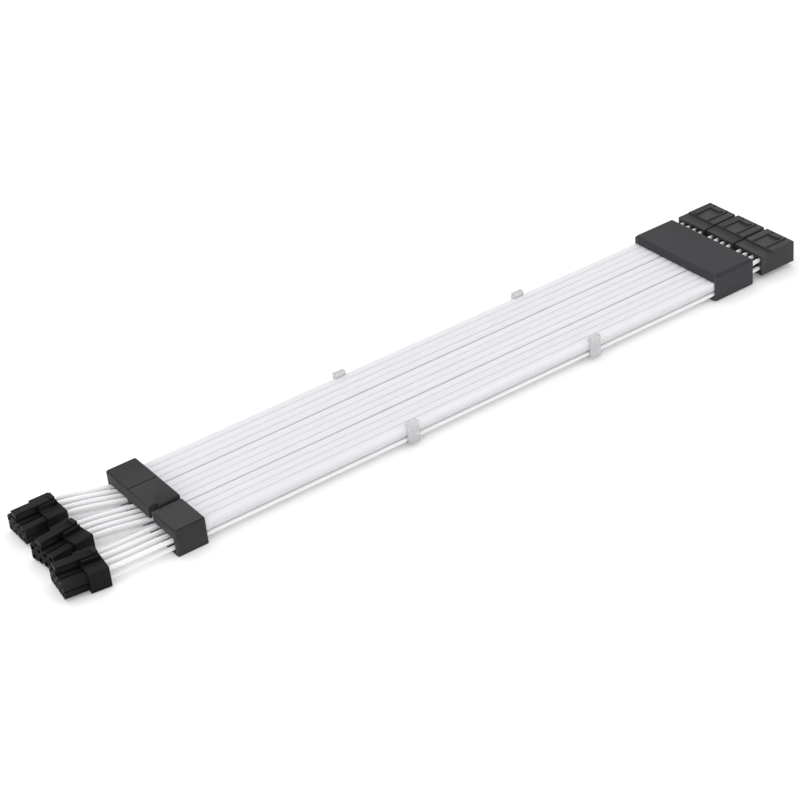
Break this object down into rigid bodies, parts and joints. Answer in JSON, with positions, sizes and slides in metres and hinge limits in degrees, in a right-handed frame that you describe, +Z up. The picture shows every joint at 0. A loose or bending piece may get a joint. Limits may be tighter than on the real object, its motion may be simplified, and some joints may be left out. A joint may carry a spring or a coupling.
{
  "type": "lit graphics card power extension lead",
  "caption": "Flat white power extension lead with light guides over its wires, black end cap and control housing, plugs for a graphics card at one end and power supply sockets at the other.",
  "frame": {"origin": "under the middle of the end cap, guides, control housing and sockets, on the table", "axes": "+X from the graphics card plugs to the power supply sockets, +Y to the far edge, +Z up"},
  "size_m": [0.3901, 0.0663, 0.014],
  "materials": {
    "wire_sleeve": "white insulation, satin",
    "light_guide": "milky diffusing plastic, satin",
    "led_strip": "white flexible circuit",
    "plug_body": "moulded black nylon",
    "socket_body": "moulded black nylon",
    "cap_shell": "fine spark-eroded texture",
    "housing_shell": "fine spark-eroded texture",
    "board": "solder mask",
    "screw": "black-plated steel",
    "clear_comb": "clear moulded plastic",
    "contact": "tin-plated brass"
  },
  "bodies": {
    "root": {"cable_comb_plug_side": "clear_comb", "cable_comb_socket_side": "clear_comb", "control_board": "board", "control_housing_bottom": "housing_shell", "control_housing_top": "housing_shell", "end_cap_bottom_narrow": "cap_shell", "end_cap_bottom_wide": "cap_shell", "end_cap_top_narrow": "cap_shell", "end_cap_top_wide": "cap_shell", "gpu_plug_six_way_far": "plug_body", "gpu_plug_six_way_middle": "plug_body", "gpu_plug_six_way_near": "plug_body", "gpu_plug_two_way_far": "plug_body", "gpu_plug_two_way_middle": "plug_body", "gpu_plug_two_way_near": "plug_body", "housing_screws": "screw", "led_strip_far": "led_strip", "led_strip_middle": "led_strip", "led_strip_near": "led_strip", "light_guide_far_1": "light_guide", "light_guide_far_2": "light_guide", "light_guide_far_3": "light_guide", "light_guide_far_4": "light_guide", "light_guide_middle_1": "light_guide", "light_guide_middle_2": "light_guide", "light_guide_middle_3": "light_guide", "light_guide_middle_4": "light_guide", "light_guide_near_1": "light_guide", "light_guide_near_2": "light_guide", "light_guide_near_3": "light_guide", "light_guide_near_4": "light_guide", "plug_terminals": "contact", "psu_socket_far": "socket_body", "psu_socket_middle": "socket_body", "psu_socket_near": "socket_body", "socket_pins": "contact", "wire_far_1": "wire_sleeve", "wire_far_2": "wire_sleeve", "wire_far_3": "wire_sleeve", "wire_far_4": "wire_sleeve", "wire_far_5": "wire_sleeve", "wire_far_6": "wire_sleeve", "wire_far_7": "wire_sleeve", "wire_far_8": "wire_sleeve", "wire_middle_1": "wire_sleeve", "wire_middle_2": "wire_sleeve", "wire_middle_3": "wire_sleeve", "wire_middle_4": "wire_sleeve", "wire_middle_5": "wire_sleeve", "wire_middle_6": "wire_sleeve", "wire_middle_7": "wire_sleeve", "wire_middle_8": "wire_sleeve", "wire_near_1": "wire_sleeve", "wire_near_2": "wire_sleeve", "wire_near_3": "wire_sleeve", "wire_near_4": "wire_sleeve", "wire_near_5": "wire_sleeve", "wire_near_6": "wire_sleeve", "wire_near_7": "wire_sleeve", "wire_near_8": "wire_sleeve"}
  },
  "joints": []
}
